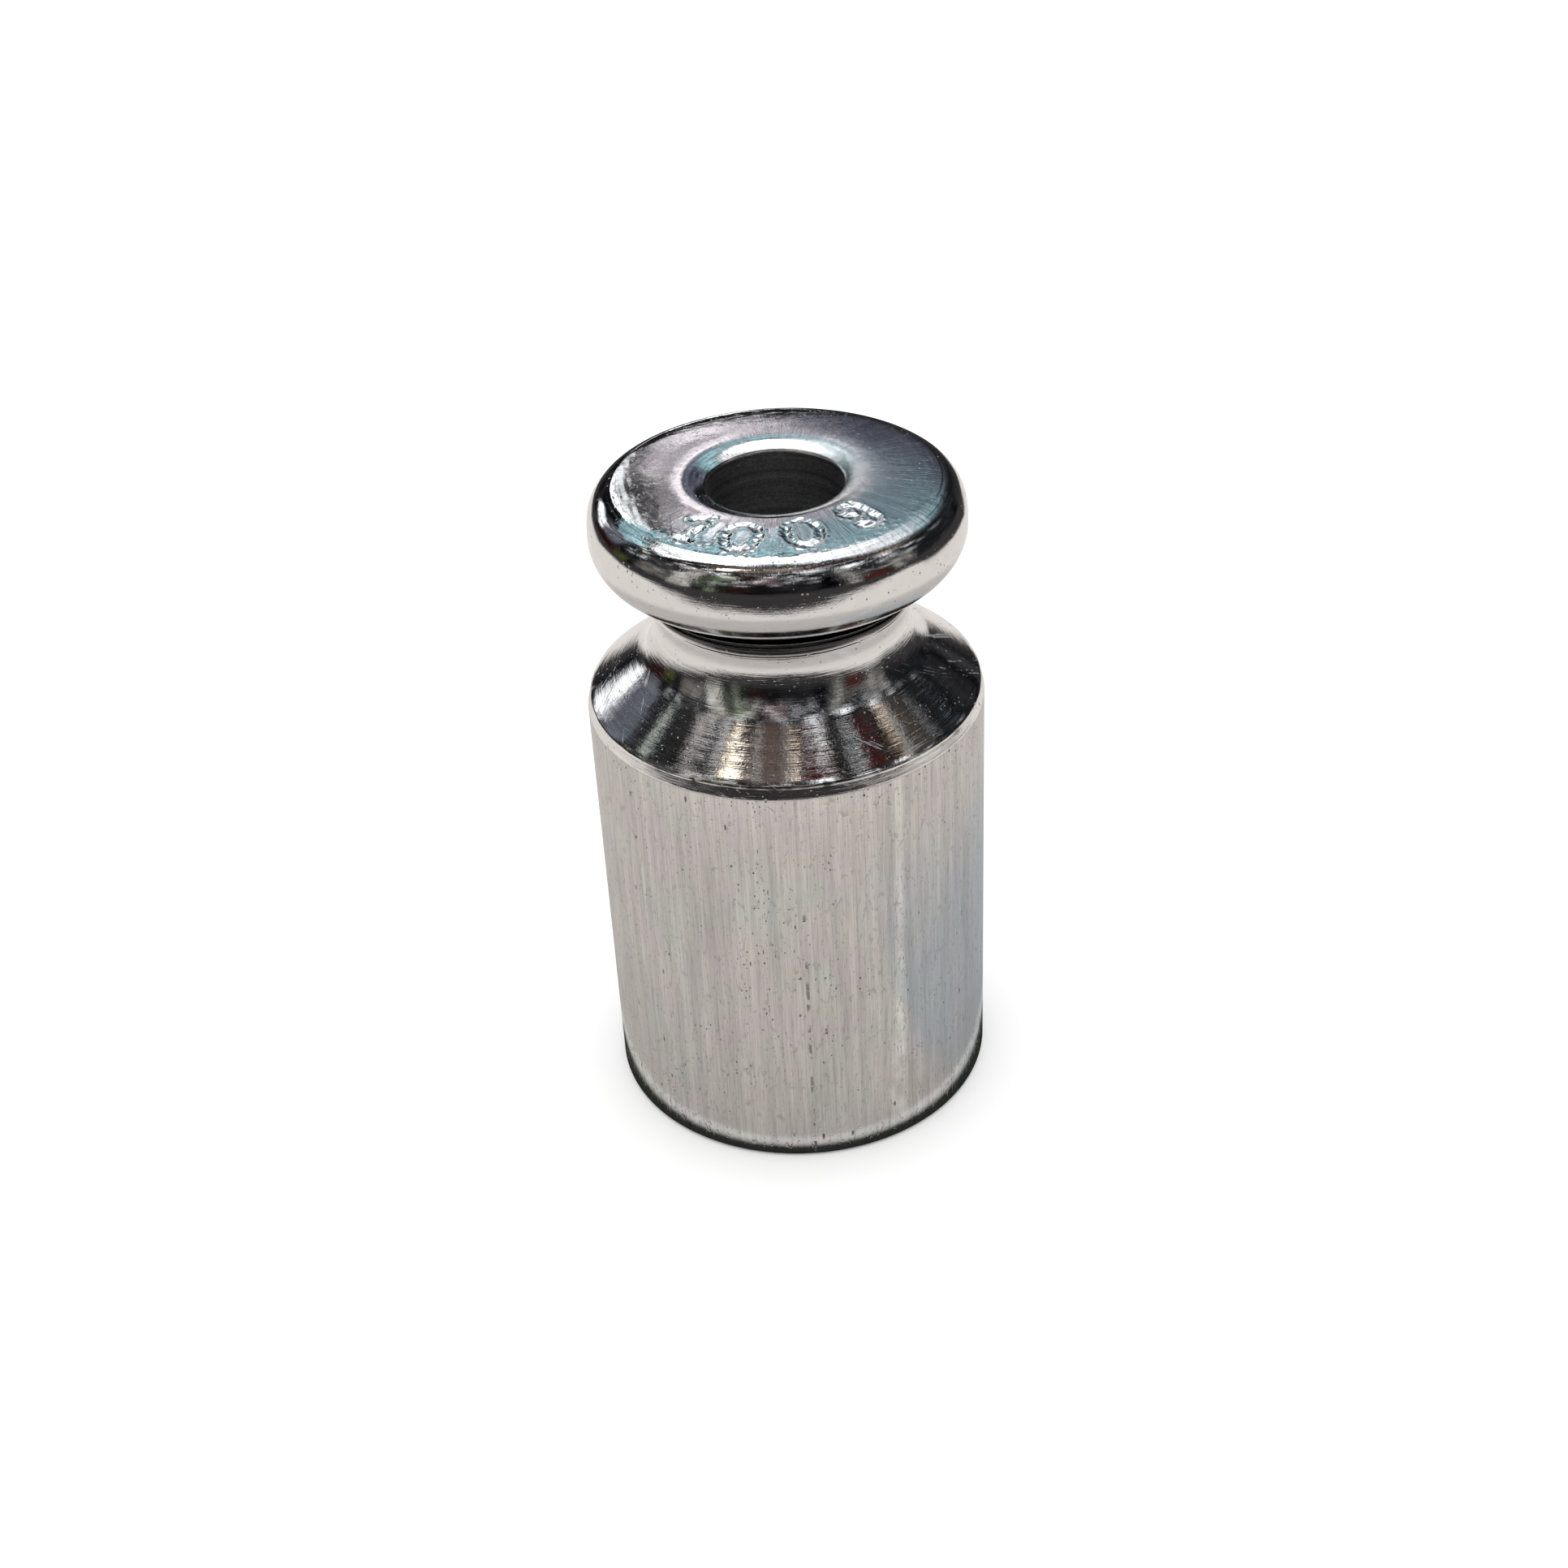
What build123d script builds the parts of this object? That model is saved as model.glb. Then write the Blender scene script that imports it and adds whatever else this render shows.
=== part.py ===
"""Cylindrical knob weight of 100 g, turned from one bar of steel and chrome plated.

A weight of this form carries an adjusting cavity in its knob: a drilled chamber that
holds a pinch of lead shot, closed by a soft plug that is pressed onto a step in the bore
and punched tight. The three sub-parts are the turned body, the plug and the shot.

Millimetres. The axis of the weight is Z, +Z is up, and the origin is the middle of the
flat base that it stands on.
"""

import os
from math import atan2, cos, degrees, radians, sin, sqrt, tan

from build123d import *

# ---- driving dimensions: the turned body, from the base up --------------------------
body_d = 22.4  # cylinder
base_edge = 0.4  # bevelled edge round the foot
wall_h = 25.4  # base to the end of the true cylinder
rim_taper_h = 0.70  # slightly tapered land between the cylinder and the rim
rim_taper_w = 0.11  # how far that land draws in
rim_break = 0.08  # worn edge of the rim itself: what the corner loses to either side
shoulder_angle = 38.0  # slope of the conical shoulder, from the horizontal
neck_d = 14.2  # narrowest diameter of the neck
neck_round_r = 3.4  # hollow of the neck, shoulder to knob
knob_d = 20.6  # knob, over its widest
knob_under_r = 2.3  # rounding under the knob
knob_land_h = 0.78  # straight side between the two roundings
knob_over_r = 1.9  # rounding over the knob
crease_angle = 73.2  # how far that rounding turns before it meets the top face in a crease
crown_d = 14.6  # flat middle of the top face
crown_drop = 0.2  # how far the polished margin outside it falls to the crease

# ---- driving dimensions: the turned rings in the neck -------------------------------
ring_count = 3  # fine tool rings left in the hollow under the knob
ring_first_angle = 16.0  # first ring, measured up the hollow from the narrowest point
ring_step_angle = 8.2  # from one ring to the next
ring_w = 0.22  # each ring is a fine V-shaped groove
ring_depth = 0.06

# ---- driving dimensions: the adjusting cavity ---------------------------------------
mouth_d = 7.4  # mouth of the bore in the knob
mouth_lip_w = 1.4  # shallow polished lip round the mouth
mouth_lip_drop = 0.4  # how far it falls into the bore
plug_top_depth = 4.8  # top face down to the plug
plug_t = 2.0
plug_fit = 0.01  # radial play left by the pressed plug
plug_lead_in = 0.30  # chamfer that starts the plug in its bore
punch_d = 3.0  # round mark of the punch that set the plug
punch_depth = 0.25
chamber_d = 5.5  # drilled chamber under the plug
chamber_floor_h = 9.9  # base up to the shoulder of the drill point
drill_point_angle = 118.0
shot_d = 1.3  # lead shot
shot_gap = 0.01  # play at each point where shot touches
shot_ring_count = 2  # balls that lean on the one in the drill point

# ---- derived: radii and heights -----------------------------------------------------
body_r = body_d / 2
rim_r = body_r - rim_taper_w
rim_z = wall_h + rim_taper_h
neck_r = neck_d / 2
knob_r = knob_d / 2
slope = radians(shoulder_angle)
rim_low = (rim_r + rim_break * rim_taper_w / rim_taper_h, rim_z - rim_break)
rim_high = (rim_r - rim_break, rim_z + rim_break * tan(slope))

# The hollow of the neck is one arc, tangent to the conical shoulder that starts at the rim.
neck_x = neck_r + neck_round_r
neck_z = rim_z + (neck_round_r - (neck_x - rim_r) * sin(slope)) / cos(slope)
shoulder_end = (neck_x - neck_round_r * sin(slope), neck_z - neck_round_r * cos(slope))
hollow_start = 270 - shoulder_angle

# A ring's cutter in the hollow's own frame: the point in the metal, the open side in the air.
ring_corners = (
    (neck_round_r + ring_depth, 0),
    (neck_round_r - ring_depth, ring_w),
    (neck_round_r - ring_depth, -ring_w),
)

# The rounding under the knob is tangent to that hollow and to the knob's straight side.
under_x = knob_r - knob_under_r
under_z = neck_z + sqrt((knob_under_r + neck_round_r) ** 2 - (neck_x - under_x) ** 2)
hollow_end = degrees(atan2(under_z - neck_z, under_x - neck_x))

# The rounding over the knob runs up to the crease, and the margin from there to the flat.
over_x = knob_r - knob_over_r
over_z = under_z + knob_land_h
total_h = over_z + knob_over_r * sin(radians(crease_angle)) + crown_drop

# Cavity heights, hung from the top face; the drill point ends in the solid foot.
mouth_r = mouth_d / 2
plug_top_z = total_h - plug_top_depth
plug_seat_z = plug_top_z - plug_t
chamber_r = chamber_d / 2
point_half_angle = radians(drill_point_angle / 2)
point_h = chamber_r / tan(point_half_angle)
apex_z = chamber_floor_h - point_h

# One ball of shot lies in the drill point. The others lie in a ring round it: they lean
# on the middle ball, and rest on the cone or, in a narrow chamber, against its wall.
shot_r = shot_d / 2
shot_pitch = shot_d + shot_gap
middle_shot_z = apex_z + (shot_r + shot_gap) / sin(point_half_angle)
shot_ring_r = min(shot_pitch * sin(point_half_angle), chamber_r - shot_r - shot_gap)
shot_ring_z = middle_shot_z + sqrt(shot_pitch**2 - shot_ring_r**2)


# ---- the body: one turned outline, then the rings and the stepped bore --------------
with BuildPart() as weight_body:
    with BuildSketch(Plane.XZ):
        with BuildLine():
            base = Line((0, 0), (body_r - base_edge, 0))
            foot = Line(base @ 1, (body_r, base_edge))
            wall = Line(foot @ 1, (body_r, wall_h))
            rim_land = Line(wall @ 1, rim_low)
            rim_edge = Line(rim_land @ 1, rim_high)
            shoulder = Line(rim_edge @ 1, shoulder_end)
            hollow = CenterArc((neck_x, neck_z), neck_round_r, hollow_start, hollow_end - hollow_start)
            under = CenterArc((under_x, under_z), knob_under_r, hollow_end - 180, 180 - hollow_end)
            side = Line(under @ 1, (knob_r, over_z))
            over = CenterArc((over_x, over_z), knob_over_r, 0, crease_angle)
            margin = Line(over @ 1, (crown_d / 2, total_h))
            top = Line(margin @ 1, (0, total_h))
            Line(top @ 1, base @ 0)
        make_face()
    revolve(axis=Axis.Z)

    with BuildSketch(Plane.XZ):
        for step in range(ring_count):
            turn = 180 - ring_first_angle - step * ring_step_angle
            with Locations(Location((neck_x, neck_z), turn)):
                Polygon(*ring_corners, align=None)
    revolve(axis=Axis.Z, mode=Mode.SUBTRACT)

    with Locations((0, 0, total_h)):
        CounterBoreHole(
            radius=chamber_r,
            counter_bore_radius=mouth_r,
            counter_bore_depth=plug_top_depth + plug_t,
            depth=total_h - chamber_floor_h,
        )
    with Locations((0, 0, chamber_floor_h)):
        Cone(
            bottom_radius=0,
            top_radius=chamber_r,
            height=point_h,
            align=(Align.CENTER, Align.CENTER, Align.MAX),
            mode=Mode.SUBTRACT,
        )

    with Locations((0, 0, total_h)):
        Cone(
            bottom_radius=mouth_r,
            top_radius=mouth_r + mouth_lip_w,
            height=mouth_lip_drop,
            align=(Align.CENTER, Align.CENTER, Align.MAX),
            mode=Mode.SUBTRACT,
        )
weight_body.part.label = "weight_body"

# ---- the plug: seated on the step, with a lead-in below and a punch mark above ------
with BuildPart() as cavity_plug:
    with BuildSketch(Plane.XY.offset(plug_seat_z)):
        Circle(mouth_r - plug_fit)
    extrude(amount=plug_t)
    chamfer(cavity_plug.edges().group_by(Axis.Z)[0], plug_lead_in)
    with BuildSketch(Plane.XY.offset(plug_top_z)):
        Circle(punch_d / 2)
    extrude(amount=-punch_depth, mode=Mode.SUBTRACT)
cavity_plug.part.label = "cavity_plug"

# ---- the shot: one ball in the drill point and a ring of balls leaning on it --------
with BuildPart() as adjusting_shot:
    with Locations((0, 0, middle_shot_z)):
        Sphere(shot_r)
    with Locations((0, 0, shot_ring_z)):
        with PolarLocations(shot_ring_r, shot_ring_count):
            Sphere(shot_r)
adjusting_shot.part.label = "adjusting_shot"

os.makedirs("parts", exist_ok=True)
export_step(weight_body.part, "parts/weight_body.step")
export_step(cavity_plug.part, "parts/cavity_plug.step")
export_step(adjusting_shot.part, "parts/adjusting_shot.step")
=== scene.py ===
"""Looks of the 100 g knob weight: worn chrome plate, stamped figures, lead in the cavity."""
from math import atan2, cos, degrees, pi, radians, sin, sqrt
from types import SimpleNamespace

import bpy
import numpy as np
from mathutils import Matrix, Vector


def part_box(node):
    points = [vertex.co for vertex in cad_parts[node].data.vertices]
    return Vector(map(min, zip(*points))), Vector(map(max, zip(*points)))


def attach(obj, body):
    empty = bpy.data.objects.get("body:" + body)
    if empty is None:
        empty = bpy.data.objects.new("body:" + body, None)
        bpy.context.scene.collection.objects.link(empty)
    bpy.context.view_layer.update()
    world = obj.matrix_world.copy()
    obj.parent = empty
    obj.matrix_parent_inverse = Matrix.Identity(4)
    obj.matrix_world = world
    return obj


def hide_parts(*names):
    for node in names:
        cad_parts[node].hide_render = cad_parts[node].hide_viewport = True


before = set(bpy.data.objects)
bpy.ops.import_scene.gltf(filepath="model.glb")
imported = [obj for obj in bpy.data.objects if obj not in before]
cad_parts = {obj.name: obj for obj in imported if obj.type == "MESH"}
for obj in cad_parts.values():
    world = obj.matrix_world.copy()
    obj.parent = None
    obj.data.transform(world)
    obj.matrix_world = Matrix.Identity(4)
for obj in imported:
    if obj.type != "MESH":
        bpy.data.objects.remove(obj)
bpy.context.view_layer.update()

MM = 0.001

# ---- sizes of the turned body, in millimetres: height and radius come from the frame --
_, body_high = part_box("weight_body")
total_h = body_high.z / MM
body_r = body_high.x / MM
base_edge = 0.4
wall_h = 25.4
rim_taper_h = 0.70
rim_taper_w = 0.11
rim_worn_w = 0.15
rim_break = 0.12
rim_round = 0.03
shoulder_angle = 38.0
shoulder_sag = 0.023
shoulder_sag_angle = 2.0
neck_r = 7.1
neck_round_r = 3.4
knob_r = 10.3
knob_under_r = 2.3
knob_over_r = 1.9
knob_land_tilt = 7.0
knob_land_h = 0.953
crease_angle = 73.2
crease_edge_w = 0.03
crease_edge_h = 0.02
ring_count = 3
ring_first_angle = 16.0
ring_step_angle = 8.2
ring_half_w = 0.11
ring_depth = 0.06
ring_margin = 4
mouth_r = 3.7
plug_top_depth = 4.8
plug_t = 2.0
chamber_r = 2.75
chamber_floor_h = 9.9
chamber_apex_h = 8.25

# ---- the polished top face: its slope, in degrees, at some distances from the axis ---
face_radii = (5.3, 6.0, 8.1, 8.6)
face_slopes = (0.0, 2.4, 4.4, 7.5)
crease_slope = 11.5
lip_start_r = 5.3
lip_drop = 0.40
lip_power = 2.3
lip_round_r = 0.16

# ---- the stamped figures: azimuth and radius of each one's middle --------------------
figure_half_h = 1.27
figure_half_w = 0.86
figure_places = {
    "one": (-36.5, 6.85),
    "first_nought": (-15.5, 7.0),
    "second_nought": (11.0, 6.7),
    "letter_g": (40.0, 6.45),
}
stroke_half_w = 0.23
stroke_depth = 0.080
burr_h = 0.020
burr_w = 0.12
lump_h = 0.018
lump_reach = 0.33
margin_r = 7.6
margin_w = 0.8
margin_wave_h = 0.005
stamped_from_r = lip_start_r - 0.4
stamped_to_r = 8.75
groove_pitch, burr_pitch, lump_pitch = 5, 9, 8
groove_change, burr_change = 0.45, 0.5
flag_tip = (-0.75, 0.62)
foot_half_w = (0.35, 0.3)
bowl_r, bowl_v = 0.58, 0.52
hook_r, hook_v = 0.60, -0.62
stem_top_v = 1.12

# ---- worn edges: how far above and below them, in millimetres, the nicks reach -------
rim_nick_reach = 0.10
crease_nick_reach = 0.12
crease_depth = 0.30
crease_r = 8.98
crease_half_w = 0.4
rim_from_r = 10
# seed, count, width in radians and depth in millimetres of each set of nicks
fine_rim_nicks = (21, 50, 0.010, 0.016)
broad_rim_nicks = (23, 30, 0.035, 0.030)
crease_nicks = (22, 80, 0.012, 0.030)

# ---- columns of the mesh, in degrees: close together over the stamp ------------------
stamp_from, stamp_to = -49, 57
fine_step = 0.5
coarse_columns = 128

# ---- wear on the wall (girth from the front, height) and painted shade in the neck ------
patch_middle = (-1.5, 14.5)
patch_half_w = 2.6
patch_half_h = 7.0
seam_girth = 0.35
seam_top = 19.0
# height of the painted shade band in the upper neck, and the gap between its lighter rings
neck_shade_low = 31.9
neck_shade_high = 34.3
neck_shade_ring_gap = 0.222
cone_top = 31.0

# ---- the camera ----------------------------------------------------------------------
frame_px = 1932
focal_px = 2821.8
sensor_w = 36.0
view_elevation = radians(33.55)
view_roll = radians(-2.941)
view_distance = 132.48
aim_height = 20.364
aim_px = (973.05, 939.48)


def make_camera():
    """Camera at the named distance and height, turned so that the aim point lands on its pixel."""
    back = Vector((0, -cos(view_elevation), sin(view_elevation)))
    place = Vector((0, 0, aim_height)) + back * view_distance
    forward = -back
    right = Vector((1, 0, 0))
    up = right.cross(forward)
    roll = Matrix.Rotation(-view_roll, 3, forward)
    right, up = roll @ right, roll @ up
    half = frame_px / 2
    swing = atan2(aim_px[0] - half, focal_px)
    turn = Matrix.Rotation(swing, 3, up)
    forward, right = turn @ forward, turn @ right
    nod = atan2((aim_px[1] - half) * cos(swing), focal_px)
    turn = Matrix.Rotation(nod, 3, right)
    forward, up = turn @ forward, turn @ up
    data = bpy.data.cameras.new("camera")
    data.sensor_width = sensor_w
    data.lens = focal_px / frame_px * sensor_w
    data.clip_start = 0.001
    data.clip_end = 100
    camera = bpy.data.objects.new("camera", data)
    axes = Matrix((right, up, -forward)).transposed().to_4x4()
    camera.matrix_world = Matrix.Translation(place * MM) @ axes
    bpy.context.scene.collection.objects.link(camera)
    bpy.context.scene.camera = camera


# ---- the profile of the body --------------------------------------------------------
same_point = 0.002
guard = 0.02
fan_r = 0.4
apex_fan_r = 0.3


def straight(a, b, steps=1):
    """Points on the line from a to b, with a guard row close to each end."""
    a, b = np.array(a, float), np.array(b, float)
    share = min(guard / np.linalg.norm(b - a), 0.25)
    t = np.unique(np.r_[0, share, np.linspace(0, 1, steps + 1)[1:-1], 1 - share, 1])
    return a + (b - a) * t[:, None]


def arc(centre, radius, start, end, step=3.0):
    """Points on a circle from angle start to angle end, in degrees."""
    count = max(2, int(abs(end - start) / step)) + 1
    t = np.radians(np.linspace(start, end, count))
    return np.stack([centre[0] + radius * np.cos(t), centre[1] + radius * np.sin(t)], 1)


def curved(a, b, sag, steps):
    """Points from a to b on a shallow curve that sags by the given depth at its middle."""
    a, b = np.array(a, float), np.array(b, float)
    t = np.linspace(0, 1, steps + 1)
    side = np.array([b[1] - a[1], a[0] - b[0]]) / np.linalg.norm(b - a)
    return a + (b - a) * t[:, None] - side * (4 * sag * t * (1 - t))[:, None]


def hollow_with_rings(centre, start, end):
    """The neck's hollow: a circle whose radius grows by a V-shaped step at each tool ring.

    The rows are close together over the rings and for a margin past the first and the last.
    """
    lowest = 180 - ring_first_angle + ring_margin
    highest = 180 - ring_first_angle - (ring_count - 1) * ring_step_angle - ring_margin
    below, ringed, above = (start, lowest, 26), (lowest, highest, 58), (highest, end, 10)
    t = np.unique(np.concatenate([np.linspace(*part) for part in (below, ringed, above)]))[::-1]
    reach = np.full(len(t), neck_round_r)
    for step in range(ring_count):
        middle = 180 - ring_first_angle - step * ring_step_angle
        gap = np.abs(np.radians(t - middle)) * neck_round_r
        reach += ring_depth * np.clip(1 - gap / ring_half_w, 0, 1)
    t = np.radians(t)
    return np.stack([centre[0] + reach * np.cos(t), centre[1] + reach * np.sin(t)], 1)


def top_face(outer_r, rows=64):
    """The crowned face, crease inwards: its drop is the slope summed up from the flat ring."""
    r = np.linspace(lip_start_r, outer_r, rows)
    slope = np.interp(r, face_radii + (outer_r,), face_slopes + (crease_slope,))
    drop = np.r_[0, np.cumsum(np.diff(r) * np.tan(np.radians((slope[1:] + slope[:-1]) / 2)))]
    return np.stack([r, total_h - drop], 1)[::-1]


def mouth_roll(rows=22):
    """The polished lip: a power curve from the flat ring down to the round of the bore's edge."""
    r = np.linspace(lip_start_r, mouth_r + lip_round_r * 0.6, rows)
    share = (lip_start_r - r) / (lip_start_r - mouth_r)
    return np.stack([r, total_h - lip_drop * share**lip_power], 1)


def body_profile():
    """Half outline of the body: base, wall, neck, knob, face, bore, and down to the drill point."""
    slope = radians(shoulder_angle)
    steepest = slope + radians(shoulder_sag_angle)
    rim_r = body_r - rim_taper_w
    rim_z = wall_h + rim_taper_h
    neck_x = neck_r + neck_round_r
    neck_z = rim_z + (neck_round_r - (neck_x - rim_r) * sin(slope)) / cos(slope)
    shoulder_end = (neck_x - neck_round_r * sin(steepest), neck_z - neck_round_r * cos(steepest))
    rim_low = (body_r - rim_worn_w, rim_z - rim_break)
    rim_high = (rim_r - rim_break, rim_z + rim_break * sin(slope) / cos(slope))
    under_x = knob_r - knob_under_r
    under_z = neck_z + sqrt((knob_under_r + neck_round_r) ** 2 - (neck_x - under_x) ** 2)
    hollow_end = degrees(atan2(under_z - neck_z, under_x - neck_x))
    tilt, steep = radians(knob_land_tilt), radians(crease_angle)
    land_round_r = knob_land_h / sin(tilt)
    over_x = knob_r - land_round_r * (1 - cos(tilt)) - knob_over_r * cos(tilt)
    face = top_face(over_x + knob_over_r * cos(steep) - crease_edge_w)
    over_z = face[0, 1] - crease_edge_h - knob_over_r * sin(steep)
    land_z = over_z + knob_over_r * sin(tilt) - knob_land_h
    lip = mouth_roll()
    bore_top = lip[-1, 1] - lip_round_r
    seat = total_h - plug_top_depth - plug_t
    apex_fan_h = chamber_apex_h + (chamber_floor_h - chamber_apex_h) * apex_fan_r / chamber_r
    pieces = [
        straight((fan_r, 0), (body_r - base_edge, 0), steps=2),
        arc((body_r - base_edge, base_edge), base_edge, -90, 0, 9),
        straight((body_r, base_edge), (body_r, wall_h), steps=12),
        straight((body_r, wall_h), rim_low, steps=3),
        curved(rim_low, rim_high, -rim_round, steps=4),
        curved(rim_high, shoulder_end, shoulder_sag, steps=12),
        hollow_with_rings((neck_x, neck_z), 270 - degrees(steepest), hollow_end),
        arc((under_x, under_z), knob_under_r, hollow_end - 180, 0, 4),
        arc((knob_r - land_round_r, land_z), land_round_r, 0, knob_land_tilt, 1),
        arc((over_x, over_z), knob_over_r, knob_land_tilt, crease_angle, 3),
        face,
        lip,
        arc((mouth_r + lip_round_r, bore_top), lip_round_r, 120, 180, 12),
        straight((mouth_r, bore_top), (mouth_r, seat), steps=4),
        straight((mouth_r, seat), (chamber_r, seat)),
        straight((chamber_r, seat), (chamber_r, chamber_floor_h)),
        straight((chamber_r, chamber_floor_h), (apex_fan_r, apex_fan_h)),
    ]
    outline = [pieces[0]]
    for piece in pieces[1:]:
        touches = np.hypot(*(piece[0] - outline[-1][-1])) < same_point
        outline.append(piece[1:] if touches else piece)
    return np.concatenate(outline)


# ---- the stamped figures --------------------------------------------------------------
far_off = 9.0


def to_run(u, v, a, b):
    """Distance from each point (u, v) to the straight stroke from a to b."""
    a, b = np.array(a, float), np.array(b, float)
    along = b - a
    t = np.clip(((u - a[0]) * along[0] + (v - a[1]) * along[1]) / (along @ along), 0, 1)
    return np.hypot(u - a[0] - t * along[0], v - a[1] - t * along[1])


def to_ellipse(u, v, half_w, half_h):
    """Distance from each point to an ellipse about the origin, near enough for a stroke."""
    share = np.sqrt((u / half_w) ** 2 + (v / half_h) ** 2) + 1e-6
    return np.abs(share - 1) * np.hypot(u, v) / share


def figure_strokes(figure, u, v):
    """Distances from each point to the strokes of one figure, in the figure's own axes."""
    if figure == "one":
        stem = to_run(u, v, (0.05, -figure_half_h), (0.1, figure_half_h))
        flag = to_run(u, v, (0.1, figure_half_h), flag_tip)
        foot = to_run(u, v, (-foot_half_w[0], -figure_half_h), (foot_half_w[1], -figure_half_h))
        return stem, flag, foot
    if figure == "letter_g":
        bowl = to_ellipse(u, v - bowl_v, bowl_r, bowl_r)
        stem = to_run(u, v, (hook_r, stem_top_v), (hook_r, hook_v))
        hook = np.where(v < hook_v, to_ellipse(u, v - hook_v, hook_r, hook_r), far_off)
        return bowl, stem, hook
    return (to_ellipse(u, v, figure_half_w, figure_half_h),)


def nearest_stroke(x, y):
    """Distance in millimetres from each point of the face to the nearest stamped stroke."""
    best = np.full(x.shape, far_off)
    for figure, (azimuth, radius) in figure_places.items():
        a = radians(azimuth)
        u = (x - radius * sin(a)) * cos(a) + (y + radius * cos(a)) * sin(a)
        v = -(x - radius * sin(a)) * sin(a) + (y + radius * cos(a)) * cos(a)
        for stroke in figure_strokes(figure, u, v):
            best = np.minimum(best, stroke)
    return best


def unevenness(a, b, seed, terms=7):
    """Smooth unevenness of about unit height: a sum of sines of seeded pitch and phase."""
    draw = np.random.default_rng(seed)
    total = np.zeros(np.broadcast(a, b).shape)
    for _ in range(terms):
        p, q, phase = draw.normal(0, 1), draw.normal(0, 1), draw.uniform(0, 2 * pi)
        total += np.sin(p * a + q * b + phase)
    return total / sqrt(terms)


def stamp(x, y):
    """Relief of the stamped face: lumpy grooves with uneven burrs, and waves near the crease."""
    gap = nearest_stroke(x, y)
    change = groove_change * unevenness(x * groove_pitch, y * groove_pitch, 11)
    groove = np.exp(-((gap / stroke_half_w) ** 2)) * (1 + change)
    burr = np.exp(-(((gap - stroke_half_w - burr_w) / burr_w) ** 2))
    burr = burr * (1 + burr_change * unevenness(x * burr_pitch, y * burr_pitch, 12))
    lumps = np.exp(-((gap / lump_reach) ** 4)) * unevenness(x * lump_pitch, y * lump_pitch, 13)
    margin = np.clip((np.hypot(x, y) - margin_r) / margin_w, 0, 1)
    waves = margin * unevenness(x * groove_pitch, y * groove_pitch, 14)
    return burr_h * burr - stroke_depth * groove + lump_h * lumps + margin_wave_h * waves


def nicks(angle, seed, count, width, depth):
    """Worn nicks round an edge: seeded narrow bells, in millimetres of depth."""
    draw = np.random.default_rng(seed)
    total = np.zeros(len(angle))
    for _ in range(count):
        place = draw.uniform(-pi, pi)
        half = width * draw.uniform(0.4, 1.6)
        deep = depth * draw.uniform(0.2, 1)
        gap = (angle - place + pi) % (2 * pi) - pi
        total += deep * np.exp(-((gap / half) ** 2))
    return total


def worn(r, z, columns):
    """The radius r drawn in by nicks close to the rim and close to the knob's crease."""
    near_rim = np.exp(-(((z - (wall_h + rim_taper_h)) / rim_nick_reach) ** 2)) * (r > rim_from_r)
    near_crease = np.exp(-(((z - (total_h - crease_depth)) / crease_nick_reach) ** 2))
    near_crease = near_crease * (np.abs(r - crease_r) < crease_half_w)
    rim_nicks = nicks(columns, *fine_rim_nicks) + nicks(columns, *broad_rim_nicks)
    return r - near_rim * rim_nicks - near_crease * nicks(columns, *crease_nicks)


def spin(name, outline, columns):
    """Surface of revolution with stamped figures and nicked edges.

    Outline point (r, z) goes round to (r sin a, -r cos a, z) at each column angle a. On the
    top face the stamped relief is added to z. Close to the rim and to the knob's crease the
    nicks draw r in. A single point closes each end of the outline.
    """
    rows, count = len(outline), len(columns)
    r = np.repeat(outline[:, 0, None], count, 1)
    z = np.repeat(outline[:, 1, None], count, 1)
    r = worn(r, z, columns)
    x, y = r * np.sin(columns), -r * np.cos(columns)
    on_face = (z > total_h - 0.5) & (r > stamped_from_r) & (r < stamped_to_r)
    z = np.minimum(z + np.where(on_face, stamp(x, y), 0), total_h)
    poles = [[0, 0, 0], [0, 0, chamber_apex_h]]
    points = np.concatenate([np.stack([x, y, z], -1).reshape(-1, 3), poles])
    i, j = np.meshgrid(np.arange(rows - 1), np.arange(count), indexing="ij")
    after = (j + 1) % count
    corners = [i * count + j, i * count + after, (i + 1) * count + after, (i + 1) * count + j]
    quads = np.stack(corners, -1).reshape(-1, 4)
    ring = np.arange(count)
    foot = np.stack([ring, np.full(count, rows * count), (ring + 1) % count], -1)
    last = (rows - 1) * count
    apex = np.stack([last + ring, last + (ring + 1) % count, np.full(count, rows * count + 1)], -1)
    mesh = bpy.data.meshes.new(name)
    mesh.from_pydata(points * MM, [], quads.tolist() + foot.tolist() + apex.tolist())
    mesh.polygons.foreach_set("use_smooth", np.ones(len(mesh.polygons), bool))
    mesh.update()
    piece = bpy.data.objects.new(name, mesh)
    bpy.context.scene.collection.objects.link(piece)
    return piece


def column_angles():
    """Column angles in radians: close together over the stamped figures, wider over the rest."""
    fine = np.arange(stamp_from, stamp_to, fine_step)
    coarse = np.linspace(stamp_to, stamp_from + 360, coarse_columns, endpoint=False)
    return np.radians(np.r_[fine, coarse])


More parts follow.
